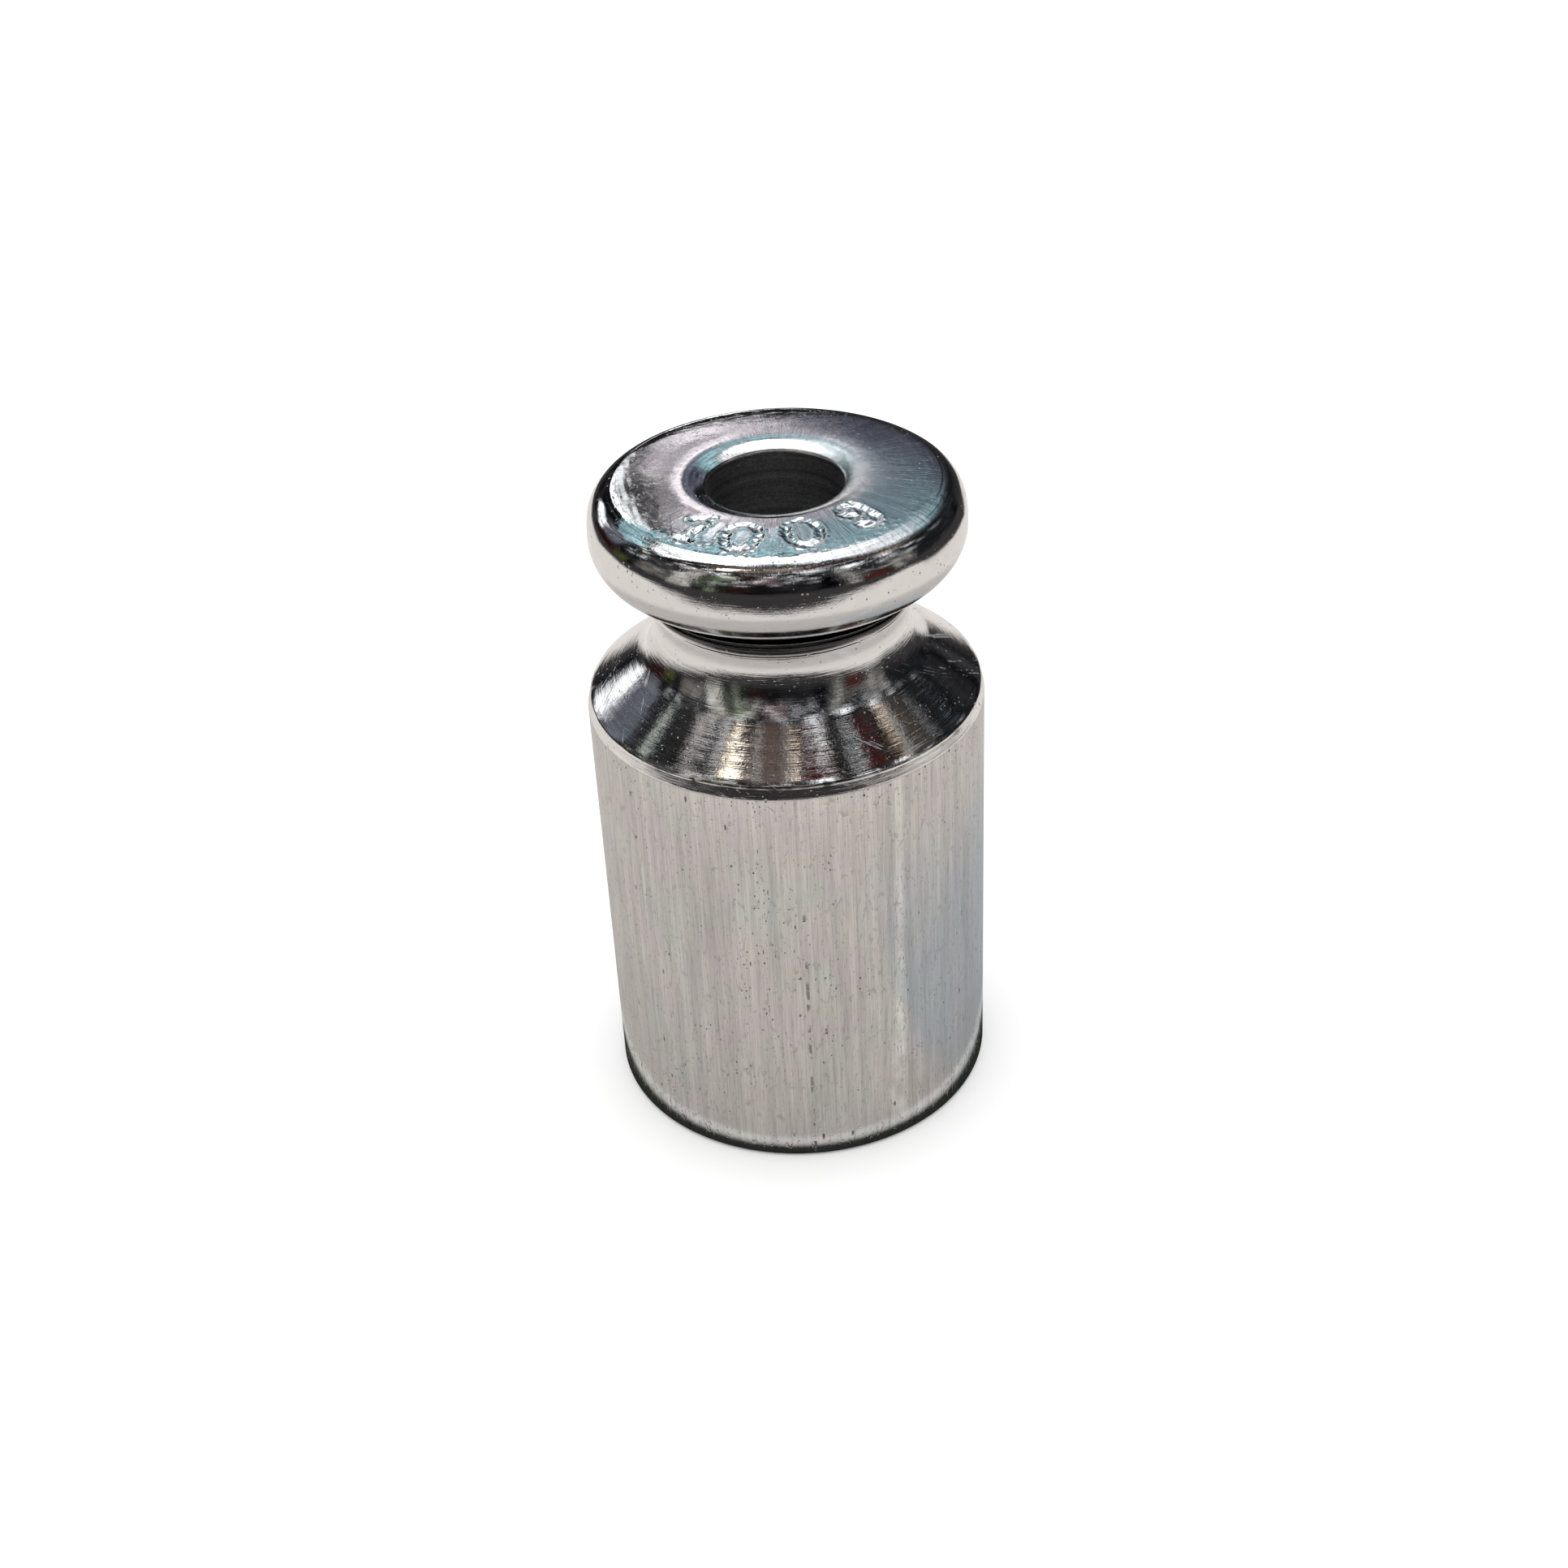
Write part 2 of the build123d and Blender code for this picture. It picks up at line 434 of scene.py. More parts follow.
# ---- shader graphs ----------------------------------------------------------------------
class Graph:
    """Short calls for the nodes of one tree; numbers and sockets can be mixed freely."""

    def __init__(self, tree):
        self.tree = tree

    def node(self, kind, **settings):
        made = self.tree.nodes.new("ShaderNode" + kind)
        for name, value in settings.items():
            setattr(made, name, value)
        return made

    def feed(self, socket, value):
        """Links a socket to the input, or sets the input to a number, colour or vector."""
        if isinstance(value, bpy.types.NodeSocket):
            self.tree.links.new(value, socket)
        elif isinstance(value, tuple) and len(socket.default_value) == 4:
            socket.default_value = (*value, 1)
        else:
            socket.default_value = value

    def math(self, operation, *values):
        made = self.node("Math", operation=operation)
        for socket, value in zip(made.inputs, values):
            self.feed(socket, value)
        return made.outputs[0]

    def product(self, first, *others):
        for value in others:
            first = self.math("MULTIPLY", first, value)
        return first

    def weighted(self, start, *layers):
        """A start value plus each layer times its own weight."""
        for layer, weight in layers:
            start = self.math("MULTIPLY_ADD", layer, weight, start)
        return start

    def distance_from(self, value, middle):
        return self.math("ABSOLUTE", self.math("SUBTRACT", value, middle))

    def vector(self, operation, *values):
        made = self.node("VectorMath", operation=operation)
        for socket, value in zip(made.inputs, values):
            self.feed(socket, value)
        return made.outputs["Value" if operation == "LENGTH" else "Vector"]

    def scaled(self, vector, factor):
        made = self.node("VectorMath", operation="SCALE")
        self.feed(made.inputs[0], vector)
        self.feed(made.inputs["Scale"], factor)
        return made.outputs[0]

    def combine(self, x, y, z=0.0):
        made = self.node("CombineXYZ")
        for socket, value in zip(made.inputs, (x, y, z)):
            self.feed(socket, value)
        return made.outputs[0]

    def split(self, vector):
        made = self.node("SeparateXYZ")
        self.feed(made.inputs[0], vector)
        return made.outputs

    def step(self, value, low, high):
        """Smooth step from 0 at low to 1 at high; low may be the larger."""
        made = self.node("MapRange", interpolation_type="SMOOTHSTEP")
        self.feed(made.inputs["Value"], value)
        for name, number in (("From Min", low), ("From Max", high), ("To Min", 0.0), ("To Max", 1.0)):
            self.feed(made.inputs[name], number)
        return made.outputs[0]

    def blend(self, share, under, over):
        made = self.node("Mix", data_type="RGBA", clamp_factor=True)
        self.feed(made.inputs[0], share)
        self.feed(made.inputs[6], under)
        self.feed(made.inputs[7], over)
        return made.outputs[2]

    def noise(self, vector, scale, detail=2.0, rough=0.5, dimensions="3D"):
        made = self.node("TexNoise", noise_dimensions=dimensions)
        self.feed(made.inputs["Vector"], vector)
        for name, number in (("Scale", scale), ("Detail", detail), ("Roughness", rough)):
            self.feed(made.inputs[name], number)
        return made.outputs[0]

    def cells(self, vector, scale):
        """Distance to the middle of the nearest cell, and that cell's own random colour."""
        made = self.node("TexVoronoi")
        self.feed(made.inputs["Vector"], vector)
        self.feed(made.inputs["Scale"], scale)
        return made.outputs["Distance"], made.outputs["Color"]

    def use(self, tree, **values):
        """A node group; its socket Middle azimuth is fed by the keyword middle_azimuth."""
        made = self.node("Group", node_tree=tree)
        for name, value in values.items():
            self.feed(made.inputs[name.replace("_", " ").capitalize()], value)
        return made.outputs[0]

    def millimetres(self):
        """The point's own object coordinates, in millimetres."""
        return self.scaled(self.node("TexCoord").outputs["Object"], 1 / MM)

    def polar(self, x, y):
        """Angle in radians from the front, growing to the right, and distance from the axis."""
        angle = self.math("ARCTAN2", x, self.product(y, -1))
        return angle, self.math("SQRT", self.math("ADD", self.product(x, x), self.product(y, y)))

    def choose_by_ray(self, plain, mirrored, output):
        """Shows the plain shader to the eye and to matt surfaces, and the other to the plate."""
        mix = self.node("MixShader")
        self.feed(mix.inputs[0], self.node("LightPath").outputs["Is Glossy Ray"])
        self.feed(mix.inputs[1], plain)
        self.feed(mix.inputs[2], mirrored)
        self.feed(self.tree.nodes[output].inputs["Surface"], mix.outputs[0])


# ---- effects that the finishes share ------------------------------------------------------
def new_group(name, inputs, output, kind):
    """A node group with the named inputs and one output; gives its graph and both its ends."""
    tree = bpy.data.node_groups.new(name, "ShaderNodeTree")
    for socket, socket_kind in inputs.items():
        tree.interface.new_socket(name=socket, in_out="INPUT", socket_type="NodeSocket" + socket_kind)
    tree.interface.new_socket(name=output, in_out="OUTPUT", socket_type="NodeSocket" + kind)
    graph = Graph(tree)
    inlet = tree.nodes.new("NodeGroupInput").outputs[:len(inputs)]
    outlet = tree.nodes.new("NodeGroupOutput").inputs[0]
    return graph, inlet, outlet


def make_pits():
    """Node group: scattered round pits. Puts out a mask of the pits, 1 in the middle of each."""
    inputs = {"Vector": "Vector", "Scale": "Float", "Size": "Float", "Share": "Float"}
    graph, (vector, scale, size, share), outlet = new_group("scattered_pits", inputs, "Pits", "Float")
    distance, tone = graph.cells(vector, scale)
    drawn = graph.split(tone)
    wide = graph.product(size, graph.math("ADD", drawn[0], 0.35))
    pit = graph.step(distance, wide, graph.product(wide, 0.4))
    chosen = graph.math("LESS_THAN", drawn[1], share)
    graph.feed(outlet, graph.product(pit, chosen))
    return graph.tree


def make_drawn_lines():
    """Node group: fine lines drawn along one direction. Puts out a value about 0.5."""
    inputs = {"Across": "Float", "Along": "Float", "Density": "Float", "Run": "Float"}
    graph, (across, along, density, run), outlet = new_group("drawn_lines", inputs, "Lines", "Float")
    place = graph.combine(graph.product(across, density), graph.product(along, run))
    broad = graph.noise(place, scale=0.35, detail=2.0, rough=0.6, dimensions="2D")
    fine = graph.noise(place, scale=2.2, detail=4.0, rough=0.7, dimensions="2D")
    graph.feed(outlet, graph.weighted(graph.product(fine, 0.6), (broad, 0.4)))
    return graph.tree


def new_material(name):
    material = bpy.data.materials.new(name)
    material.use_nodes = True
    graph = Graph(material.node_tree)
    return material, graph, material.node_tree.nodes["Principled BSDF"]


def set_relief(graph, shader, height, distance):
    """Bends the shading normal by a height field; distance is the height of its unit."""
    bump = graph.node("Bump")
    bump.inputs["Strength"].default_value = 1
    bump.inputs["Distance"].default_value = distance
    graph.feed(bump.inputs["Height"], height)
    graph.feed(shader.inputs["Normal"], bump.outputs[0])


# ---- the plated steel -----------------------------------------------------------------------
chrome = (0.80, 0.79, 0.785)
# near-black colour of the painted shade in the neck
painted_shade_dark = (0.014, 0.014, 0.013)
dark_pit = (0.12, 0.11, 0.10)


def steel_places(graph):
    """Where a point of the body lies: coordinates in millimetres and masks of its regions."""
    at = SimpleNamespace()
    at.place = graph.millimetres()
    at.x, y, at.z = graph.split(at.place)[:3]
    at.turn, at.r = graph.polar(at.x, y)
    at.girth = graph.product(at.turn, body_r)
    at.across_tool = graph.weighted(at.z, (at.r, 0.4))
    at.on_wall = graph.step(at.z, wall_h + 0.1, wall_h - 0.1)
    at.on_face = graph.step(at.z, total_h - 0.9, total_h - 0.45)
    at.on_cone = graph.step(at.z, cone_top, cone_top - 1.0)
    at.in_bore = graph.product(
        graph.step(at.r, mouth_r + 0.3, mouth_r + 0.05), graph.step(at.z, total_h - 0.2, total_h - 0.9)
    )
    at.turned = graph.math("SUBTRACT", 1.0, graph.math("MAXIMUM", at.on_wall, at.on_face))
    return at


def wall_patch(graph, at, fog):
    """Mask of the pitted patch on the front of the wall, with a ragged edge."""
    across = graph.math("MULTIPLY_ADD", at.girth, 1 / patch_half_w, -patch_middle[0] / patch_half_w)
    up = graph.math("MULTIPLY_ADD", at.z, 1 / patch_half_h, -patch_middle[1] / patch_half_h)
    spread = graph.vector("LENGTH", graph.combine(across, up))
    return graph.step(graph.weighted(spread, (fog, 0.9)), 1.75, 0.95)


def pits_and_dashes(graph, at, pits, fog):
    """Specks, crowded in the patch and under the rim, and upright dashes down the wall."""
    patch = wall_patch(graph, at, fog)
    under_rim = graph.product(graph.step(at.z, wall_h - 1.6, wall_h - 0.3), at.on_wall)
    cluster = graph.step(graph.noise(at.place, scale=0.45, detail=1.0), 0.50, 0.68)
    crowd = graph.math("MAXIMUM", patch, graph.math("MAXIMUM", under_rim, cluster))
    large = graph.use(pits, vector=at.place, scale=1.5, size=0.13, share=0.40)
    small = graph.use(pits, vector=at.place, scale=3.6, size=0.22, share=0.60)
    specks = graph.product(graph.math("MAXIMUM", large, small), graph.weighted(0.13, (crowd, 0.85)))
    long_place = graph.combine(at.girth, graph.product(at.z, 0.35))
    dashes = graph.use(pits, vector=long_place, scale=2.2, size=0.16, share=0.16)
    thin_place = graph.combine(at.girth, graph.product(at.z, 0.16))
    thin = graph.use(pits, vector=thin_place, scale=4.6, size=0.15, share=0.30)
    thin = graph.product(thin, graph.weighted(0.3, (patch, 0.7)))
    seam = graph.step(graph.distance_from(at.girth, seam_girth), 0.13, 0.04)
    broken = graph.step(graph.noise(at.place, scale=1.7), 0.50, 0.60)
    seam = graph.product(seam, broken, graph.step(at.z, seam_top, seam_top - 1.5), 0.8)
    flaws = graph.math("MAXIMUM", graph.math("MAXIMUM", dashes, thin), seam)
    return graph.math("MAXIMUM", specks, graph.product(flaws, at.on_wall))


def plate_wrinkles(graph, at):
    """Broken upright wrinkles in the wall's plate: bent edges of tall cells."""
    bend = graph.noise(at.place, scale=1.6, detail=3.0)
    bent = graph.weighted(graph.product(at.girth, 2.6), (bend, 1.3))
    cells = graph.node("TexVoronoi", voronoi_dimensions="2D", feature="DISTANCE_TO_EDGE")
    graph.feed(cells.inputs["Vector"], graph.combine(bent, graph.product(at.z, 0.33)))
    graph.feed(cells.inputs["Scale"], 1.0)
    edges = graph.step(cells.outputs["Distance"], 0.10, 0.02)
    broken = graph.step(graph.noise(at.place, scale=2.8), 0.46, 0.60)
    return graph.product(edges, broken, at.on_wall)


def cone_scratches(graph, at, lines):
    """Slanting scratches low on the shoulder's cone."""
    slant = graph.weighted(at.z, (at.girth, 0.55))
    drawn = graph.use(lines, across=slant, along=at.girth, density=3.2, run=0.16)
    low = graph.step(at.z, 30.0, 28.0)
    broken = graph.step(graph.noise(at.place, scale=0.8), 0.45, 0.60)
    return graph.product(graph.step(drawn, 0.60, 0.68), low, broken, at.turned)


def painted_neck_shade(graph, at):
    """Mask of painted shade in the upper neck under the knob, with lighter rings one tool ring apart."""
    tall = graph.product(
        graph.step(at.z, neck_shade_low, neck_shade_low + 0.35), graph.step(at.z, neck_shade_high, neck_shade_high - 0.5)
    )
    height = graph.math("SUBTRACT", at.z, neck_shade_low)
    from_ring = graph.math("ABSOLUTE", graph.math("WRAP", height, neck_shade_ring_gap, -neck_shade_ring_gap))
    lit_rings = graph.product(graph.step(from_ring, 0.06, 0.02), graph.step(height, 1.15, 1.05))
    return graph.product(tall, graph.step(at.r, 8.6, 8.2), graph.weighted(1.0, (lit_rings, -0.8)))


def wall_tone(graph, at, streaks, blotch, wrinkles):
    """The wall's colour: faint warm, pink and green blotches under satin streaks."""
    tone = graph.blend(graph.step(blotch, 0.38, 0.62), (0.80, 0.785, 0.745), (0.80, 0.765, 0.765))
    greenish = graph.step(graph.noise(at.place, scale=0.22), 0.52, 0.70)
    tone = graph.blend(greenish, tone, (0.77, 0.785, 0.76))
    tone = graph.scaled(tone, graph.weighted(0.38, (streaks, 1.25)))
    return graph.blend(graph.product(wrinkles, 0.36), tone, (0.34, 0.32, 0.30))


def painted_bore_shade(graph, at, grain):
    """Painted shade in the bore: a dark colour in bands round it, broken up by grain."""
    bands = graph.noise(graph.combine(0.0, 0.0, at.z), scale=2.4)
    mottle = graph.weighted(graph.product(bands, 0.5), (grain, 0.5))
    return graph.blend(graph.step(mottle, 0.38, 0.64), (0.04, 0.04, 0.045), (0.34, 0.34, 0.35))


def plated_steel(pits, lines):
    """Chrome plate over turned steel: satin streaks down the wall, tool lines round the shoulder and knob,
    brushed rays on the face, pits, specks, and painted shade in the upper neck and in the bore."""
    material, graph, shader = new_material("plated_steel")
    at = steel_places(graph)
    streaks = graph.use(lines, across=at.girth, along=at.z, density=5.0, run=0.12)
    rays = graph.use(lines, across=graph.product(at.turn, 7.0), along=at.r, density=4.5, run=0.30)
    tool = graph.use(lines, across=at.across_tool, along=at.girth, density=7.0, run=0.05)
    cone_lines = graph.use(lines, across=at.across_tool, along=at.girth, density=3.4, run=0.03)
    cone_lines = graph.product(cone_lines, at.on_cone, at.turned)
    blotch = graph.noise(at.place, scale=0.35, detail=3.0, rough=0.55)
    fog = graph.noise(at.place, scale=1.6, detail=4.0, rough=0.65)
    grain = graph.noise(at.place, scale=9.0, detail=3.0, rough=0.7)
    marks = pits_and_dashes(graph, at, pits, fog)
    wrinkles = plate_wrinkles(graph, at)
    scratch = cone_scratches(graph, at, lines)
    neck_shade = painted_neck_shade(graph, at)

    tone = graph.scaled(graph.combine(*chrome), graph.weighted(1.0, (at.on_cone, -0.5), (cone_lines, 1.0)))
    tone = graph.blend(at.on_wall, tone, wall_tone(graph, at, streaks, blotch, wrinkles))
    brushed = graph.scaled(tone, graph.weighted(0.42, (rays, 1.1)))
    tone = graph.blend(graph.product(at.on_face, 0.8), tone, brushed)
    # painted shade in the neck under the knob: near-black colour, a little lighter along the tool lines
    neck_shade_share = graph.product(neck_shade, graph.weighted(0.89, (graph.step(tool, 0.60, 0.50), 0.10)))
    tone = graph.blend(neck_shade_share, tone, painted_shade_dark)
    tone = graph.blend(graph.product(marks, 0.8), tone, dark_pit)
    # painted shade in the bore: its colour darkened in bands
    tone = graph.blend(graph.product(at.in_bore, 0.8), tone, painted_bore_shade(graph, at, grain))
    graph.feed(shader.inputs["Base Color"], tone)
    # the painted neck shade also darkens the plate's reflections there, through the specular tint
    painted_shade_tint = graph.blend(graph.product(neck_shade, 0.95), (1.0, 1.0, 1.0), (0.05, 0.05, 0.05))
    graph.feed(shader.inputs["Specular Tint"], painted_shade_tint)
    shader.inputs["Metallic"].default_value = 1

    haze = graph.step(fog, 0.45, 0.75)
    satin = graph.product(streaks, at.on_wall)
    rough = graph.weighted(
        0.025, (haze, 0.05), (satin, 0.16), (neck_shade, 0.06), (scratch, 0.15), (marks, 0.4), (at.in_bore, 0.3)
    )
    graph.feed(shader.inputs["Roughness"], rough)

    brushing = graph.weighted(0.15, (graph.step(at.x, -4.0, 1.5), 0.85))
    height = graph.weighted(
        0.0,
        (graph.product(rays, at.on_face, brushing), 0.018),
        (graph.product(tool, at.turned), 0.004),
        (cone_lines, 0.016),
        (graph.product(grain, at.turned), 0.003),
        (scratch, -0.010),
        (wrinkles, -0.006),
        (satin, 0.003),
        (fog, 0.006),
        (blotch, 0.02),
        (marks, -0.03),
    )
    set_relief(graph, shader, height, MM)
    return material


def dull_lead(name, tone_dark, tone_pale, pits):
    """Soft lead: mottled grey oxide, hammered dimples and a few dark pits."""
    material, graph, shader = new_material(name)
    place = graph.millimetres()
    mottle = graph.noise(place, scale=1.8, detail=4.0, rough=0.6)
    dents = graph.noise(place, scale=3.5)
    holes = graph.use(pits, vector=place, scale=3.0, size=0.16, share=0.4)
    tone = graph.blend(graph.step(mottle, 0.35, 0.65), tone_dark, tone_pale)
    tone = graph.blend(graph.product(holes, 0.7), tone, (0.03, 0.03, 0.032))
    graph.feed(shader.inputs["Base Color"], tone)
    shader.inputs["Metallic"].default_value = 0.85
    graph.feed(shader.inputs["Roughness"], graph.weighted(0.35, (mottle, 0.35)))
    set_relief(graph, shader, graph.weighted(dents, (holes, -0.6)), 0.05 * MM)
    return material


# ---- the studio: what the plate mirrors -----------------------------------------------------
# Reach of the pale table from the weight's axis, by azimuth, in millimetres. Azimuth 0 is in
# front of the weight and grows to its right.
table_reach = (
    (-180, 105), (-160, 175), (-150, 300), (-135, 300), (-125, 205), (-110, 245), (-100, 210), (-68, 125),
    (-50, 92), (-20, 82), (0, 79), (22, 88), (51, 133), (60, 149), (75, 200), (90, 114), (120, 107),
    (140, 107), (148, 285), (160, 175), (170, 78), (180, 105),
)
reach_limit = 300
table_near, table_far = 42, 62
side_shade_way = (0.86, 0.5)
side_shade_from, side_shade_to = 4.5, 8.5
side_shade_near, side_shade_far = 24, 42
glint_way = (0.42, 0.91)
glint_at = -7.1
foot_shadow_r = 11.9
foot_shadow_soft = 0.35
foot_gleam_r = 12.55
floor_width = 40
floor_tone = (0.92, 0.92, 0.92)


def reach_curve(graph, azimuth):
    """Reach of the table at an azimuth in degrees, straight from stop to stop."""
    made = graph.node("FloatCurve")
    points = made.mapping.curves[0].points
    for stop, reach in table_reach[1:-1]:
        points.new(stop / 360 + 0.5, reach / reach_limit)
    points[0].location = (0, table_reach[0][1] / reach_limit)
    points[-1].location = (1, table_reach[-1][1] / reach_limit)
    for point in points:
        point.handle_type = "VECTOR"
    made.mapping.update()
    graph.feed(made.inputs["Value"], graph.math("MULTIPLY_ADD", azimuth, 1 / 360, 0.5))
    return graph.product(made.outputs[0], reach_limit)


def table_tone(graph, place, x, y, distance):
    """The mirrored table: mottled, with painted shade of the weight's shadow on one side, a painted broken
    glint, a painted gleam ring round the foot, and a dark painted contact shadow along the foot.
    """
    soft = graph.noise(place, scale=0.12, detail=3.0, rough=0.6)
    tone = graph.blend(graph.step(soft, 0.35, 0.7), (0.425, 0.405, 0.385), (0.385, 0.365, 0.35))
    tone = graph.scaled(tone, graph.weighted(1.0, (graph.step(distance, table_near, table_far), 0.40)))
    # painted shadow of the weight on one side of the table
    sideways = graph.weighted(0.0, (x, side_shade_way[0]), (y, side_shade_way[1]))
    shade = graph.product(
        graph.step(sideways, side_shade_from, side_shade_to),
        graph.step(distance, side_shade_far, side_shade_near),
    )
    tone = graph.blend(graph.product(shade, 0.6), tone, (0.25, 0.29, 0.33))
    # painted glint: a broken bright streak of light on the table
    run = graph.weighted(0.0, (x, glint_way[0]), (y, glint_way[1]))
    broken = graph.step(graph.noise(place, scale=0.5, detail=3.0, rough=0.7), 0.38, 0.62)
    glint = graph.step(graph.distance_from(run, glint_at), 1.5, 0.1)
    tone = graph.blend(graph.product(glint, graph.step(x, 6, 9), broken), tone, (0.66, 0.645, 0.625))
    # painted gleam ring just outside the foot, then the painted contact shadow under the foot's edge
    foot_gleam = graph.step(graph.distance_from(distance, foot_gleam_r), 0.45, 0.1)
    tone = graph.blend(graph.product(foot_gleam, 0.7), tone, (0.66, 0.67, 0.67))
    foot_shadow = graph.step(distance, foot_shadow_r + foot_shadow_soft, foot_shadow_r)
    return graph.blend(foot_shadow, tone, (0.025, 0.028, 0.025))


def make_floor():
    """Pale floor. Only the plate's reflections see the table's edge and the painted shade, shadows and
    glints on it.
    """
    bpy.ops.mesh.primitive_plane_add(size=floor_width)
    floor = bpy.context.object
    floor.name = "floor"
    material, graph, shader = new_material("pale_floor")
    graph.feed(shader.inputs["Base Color"], floor_tone)
    shader.inputs["Roughness"].default_value = 1
    shader.inputs["Specular IOR Level"].default_value = 0
    place = graph.millimetres()
    x, y, _ = graph.split(place)[:3]
    angle, distance = graph.polar(x, y)
    reach = reach_curve(graph, graph.product(angle, 180 / pi))
    wander = graph.noise(place, scale=0.05, detail=3.0, rough=0.6)
    ragged = graph.product(distance, graph.weighted(0.88, (wander, 0.24)))
    on_table = graph.step(graph.math("DIVIDE", ragged, reach), 1.015, 0.985)
    murk = graph.noise(place, scale=0.02, detail=3.0)
    beyond = graph.blend(murk, (0.012, 0.012, 0.014), (0.05, 0.045, 0.045))
    mirrored = graph.node("BsdfDiffuse")
    tone = graph.blend(on_table, beyond, table_tone(graph, place, x, y, distance))
    graph.feed(mirrored.inputs["Color"], tone)
    graph.choose_by_ray(shader.outputs[0], mirrored.outputs[0], "Material Output")
    floor.data.materials.append(material)


# Cards, shelves and lamps round the weight: middle azimuth and elevation, half sizes and
# softness in degrees, and colour. Later ones stand in front of earlier ones.
room_cards = (
    # azimuth, elevation, half width, half height, softness, colour
    (-80, 16, 11, 11, 1.5, (0.20, 0.19, 0.18)),
    (-84, 40, 14, 9, 4, (0.08, 0.08, 0.08)),
    (-60, 21, 6.5, 26, 1.2, (0.52, 0.51, 0.48)),
    (-41, 22, 12, 32, 1.0, (0.030, 0.036, 0.028)),
    (-41, 20, 1.3, 26, 0.8, (0.30, 0.32, 0.27)),
    (-48, 30, 1.1, 20, 0.8, (0.20, 0.22, 0.18)),
    (-36, 44, 11, 7, 3.0, (0.20, 0.25, 0.17)),
    (-33, 47, 3, 4, 1.5, (0.62, 0.62, 0.58)),
    (-24, 25, 6, 30, 1.5, (0.042, 0.020, 0.017)),
    (-9, 44, 9, 12, 1.0, (0.20, 0.155, 0.16)),
    (-9, 10, 10, 21, 3, (0.018, 0.018, 0.020)),
    (10, 25, 11, 32, 3, (0.035, 0.035, 0.038)),
    (29, 21, 6, 16, 1.0, (0.004, 0.005, 0.008)),
    (37, 24, 2, 24, 0.8, (0.09, 0.09, 0.09)),
    (43, 27, 2.2, 26, 0.8, (0.46, 0.46, 0.43)),
    (50, 30, 3, 22, 1.5, (0.12, 0.12, 0.11)),
    (57, 8, 8, 7, 0.8, (0.11, 0.035, 0.03)),
    (66, 24, 3, 8, 0.8, (0.05, 0.05, 0.055)),
    (72, 6, 2.2, 20, 0.8, (0.44, 0.43, 0.40)),
    (81, 8, 2.2, 20, 0.8, (0.40, 0.385, 0.36)),
    (72, 19, 13, 1.6, 0.8, (0.42, 0.42, 0.40)),
    (76, 34, 9, 6, 3, (0.22, 0.22, 0.22)),
    (115, 26, 14, 22, 4, (0.030, 0.032, 0.037)),
    (-126, 24, 12, 12, 4, (0.20, 0.21, 0.24)),
    (-107, 41, 2.5, 2, 1.5, (1.1, 1.2, 1.1)),
    (-120, 3, 12, 8, 2, (0.05, 0.020, 0.018)),
    (-104, 4, 5, 7, 1.5, (0.11, 0.12, 0.04)),
    (-176, 27, 6, 9, 1.5, (0.95, 0.91, 0.96)),
    (-174, 4, 5, 4, 1.2, (1.3, 1.33, 1.35)),
    (165, 25, 14, 8, 2, (0.15, 0.16, 0.20)),
    (180, 40, 60, 6, 2.5, (0.42, 0.60, 0.65)),
    (-172.2, 26, 0.9, 9, 0.7, (0.04, 0.04, 0.045)),
    (-169.5, 25, 1.4, 9, 0.7, (0.80, 0.83, 0.85)),
    (-166, 24, 1.3, 9, 0.6, (1.8, 1.85, 1.9)),
    (-140, 15, 9, 6, 2, (1.1, 1.12, 1.15)),
    (180, 65, 75, 15, 4, (1.7, 1.73, 1.78)),
    (26, 61, 5, 2.5, 1.5, (1.6, 1.62, 1.7)),
    (55, 50, 6, 3.5, 1.5, (1.4, 1.45, 1.5)),
    (81, 45, 5, 3, 1.5, (1.3, 1.35, 1.4)),
    (87, 49, 3, 2.5, 1.5, (0.75, 0.55, 0.34)),
    (-70, 52, 18, 3, 2, (0.34, 0.31, 0.29)),
    (-50, 70, 46, 7, 2, (0.15, 0.115, 0.10)),
    (-61, 68, 7, 5, 1.2, (2.4, 2.15, 1.8)),
    (32, 72, 22, 4.5, 1, (0.085, 0.020, 0.018)),
    (6, 76, 2.5, 5, 1.0, (2.2, 1.8, 1.35)),
    (35, 66, 3, 2, 1, (1.5, 1.5, 1.5)),
    (64, 66, 9, 5, 1.5, (0.05, 0.05, 0.052)),
    (80, 61, 8, 5, 1.5, (0.085, 0.022, 0.020)),
    (98, 46, 9, 5, 3, (0.12, 0.105, 0.09)),
    (125, 62, 22, 8, 6, (0.7, 0.72, 0.75)),
    (-130, 56, 14, 6, 4, (1.0, 1.03, 1.05)),
)

plain_light = (1.45, 1.45, 1.45)
spot_light = (1.7, 1.73, 1.76)
room_gamma = 1.3
waver_across, waver_up = 3.5, 4.0
waver_offset = (3.0, 1.0, 2.0)


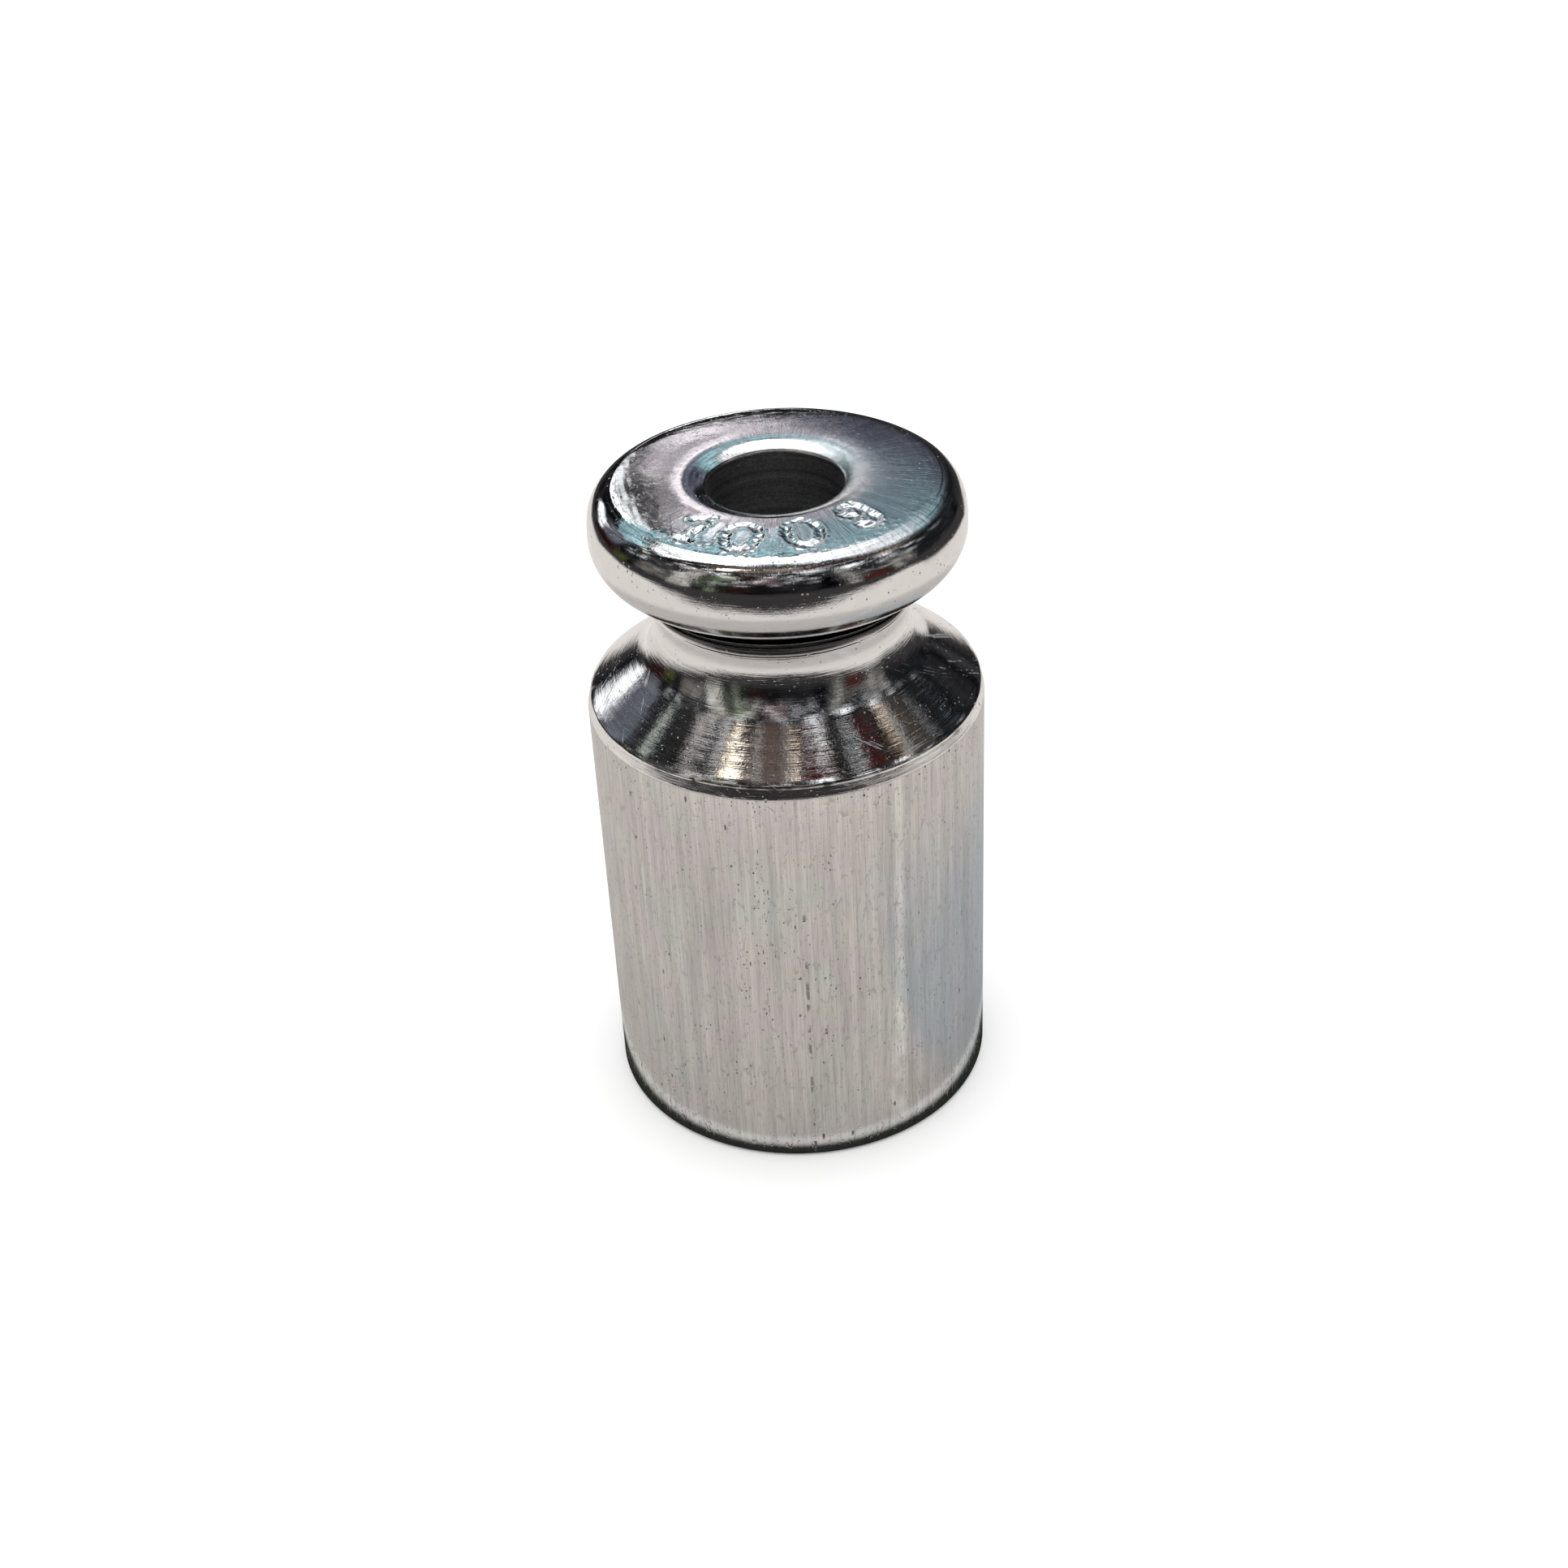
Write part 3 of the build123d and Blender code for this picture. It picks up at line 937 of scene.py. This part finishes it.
def make_card():
    """Node group: one card of the studio laid over what stands behind it."""
    inputs = {"Behind": "Color", "Card": "Color"}
    sizes = ("Azimuth", "Elevation", "Middle azimuth", "Middle elevation", "Half width", "Half height")
    inputs.update(dict.fromkeys((*sizes, "Softness"), "Float"))
    graph, inlet, outlet = new_group("studio_card", inputs, "Colour", "Color")
    behind, card, azimuth, elevation, mid_azimuth, mid_elevation, half_w, half_h, soft = inlet
    soft_inside = graph.product(soft, -1.0)
    turned = graph.math("WRAP", graph.math("SUBTRACT", azimuth, mid_azimuth), 180.0, -180.0)
    inside_w = graph.step(graph.math("SUBTRACT", graph.math("ABSOLUTE", turned), half_w), soft, soft_inside)
    rise = graph.distance_from(elevation, mid_elevation)
    inside_h = graph.step(graph.math("SUBTRACT", rise, half_h), soft, soft_inside)
    graph.feed(outlet, graph.blend(graph.product(inside_w, inside_h), behind, card))
    return graph.tree


def wavering(graph, angle, way, width):
    """An angle made to waver by noise over a width in degrees."""
    waver = graph.math("SUBTRACT", graph.noise(way, scale=12.0, detail=3.0, rough=0.6), 0.5)
    return graph.weighted(angle, (waver, width))


def mirrored_room(graph, azimuth, elevation, way, pits):
    """Colour of the room by direction: clutter, then the cards, texture and small bright glints."""
    clutter = graph.noise(way, scale=9.0, detail=4.0, rough=0.7)
    colour = graph.blend(graph.step(clutter, 0.4, 0.75), (0.012, 0.013, 0.016), (0.10, 0.10, 0.105))
    card_tree = make_card()
    for mid_azimuth, mid_elevation, half_w, half_h, soft, card in room_cards:
        colour = graph.use(
            card_tree, behind=colour, card=card, azimuth=azimuth, elevation=elevation,
            middle_azimuth=mid_azimuth, middle_elevation=mid_elevation,
            half_width=half_w, half_height=half_h, softness=soft,
        )
    spread = graph.combine(graph.product(azimuth, 0.5), elevation)
    texture = graph.noise(spread, scale=0.28, detail=4.0, rough=0.75, dimensions="2D")
    colour = graph.scaled(colour, graph.weighted(0.25, (graph.step(texture, 0.36, 0.66), 1.7)))
    spot_place = graph.combine(graph.product(azimuth, 0.6), elevation)
    spots = graph.use(pits, vector=spot_place, scale=0.21, size=0.40, share=0.55)
    in_front = graph.step(graph.math("ABSOLUTE", azimuth), 135, 115)
    spots = graph.product(spots, graph.step(elevation, 12, 40), in_front)
    deepened = graph.node("Gamma")
    graph.feed(deepened.inputs["Color"], graph.blend(spots, colour, spot_light))
    graph.feed(deepened.inputs["Gamma"], room_gamma)
    return deepened.outputs[0]


def make_world(pits):
    """Soft white studio for the camera and the floor; the plate mirrors the darker cards."""
    world = bpy.data.worlds.new("studio")
    bpy.context.scene.world = world
    world.use_nodes = True
    graph = Graph(world.node_tree)
    way = graph.node("TexCoord").outputs["Generated"]
    x, y, z = graph.split(way)[:3]
    azimuth = graph.product(graph.polar(x, y)[0], 180 / pi)
    elevation = graph.product(graph.math("ARCSINE", z), 180 / pi)
    azimuth = wavering(graph, azimuth, way, waver_across)
    shifted = graph.vector("ADD", way, waver_offset)
    elevation = wavering(graph, elevation, shifted, waver_up)
    plain = world.node_tree.nodes["Background"]
    graph.feed(plain.inputs["Color"], plain_light)
    mirrored = graph.node("Background")
    graph.feed(mirrored.inputs["Color"], mirrored_room(graph, azimuth, elevation, way, pits))
    graph.choose_by_ray(plain.outputs[0], mirrored.outputs[0], "World Output")


pits = make_pits()
lines = make_drawn_lines()
make_camera()
make_floor()
make_world(pits)
body = spin("body_surface", body_profile(), column_angles())
body.data.materials.append(plated_steel(pits, lines))
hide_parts("weight_body")
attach(body, "root")
finishes = {
    "cavity_plug": dull_lead("plug_lead", (0.16, 0.16, 0.17), (0.30, 0.30, 0.31), pits),
    "adjusting_shot": dull_lead("shot_lead", (0.12, 0.12, 0.13), (0.27, 0.27, 0.29), pits),
}
for node, finish in finishes.items():
    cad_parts[node].data.materials.clear()
    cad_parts[node].data.materials.append(finish)
bpy.context.scene.view_settings.view_transform = "Standard"
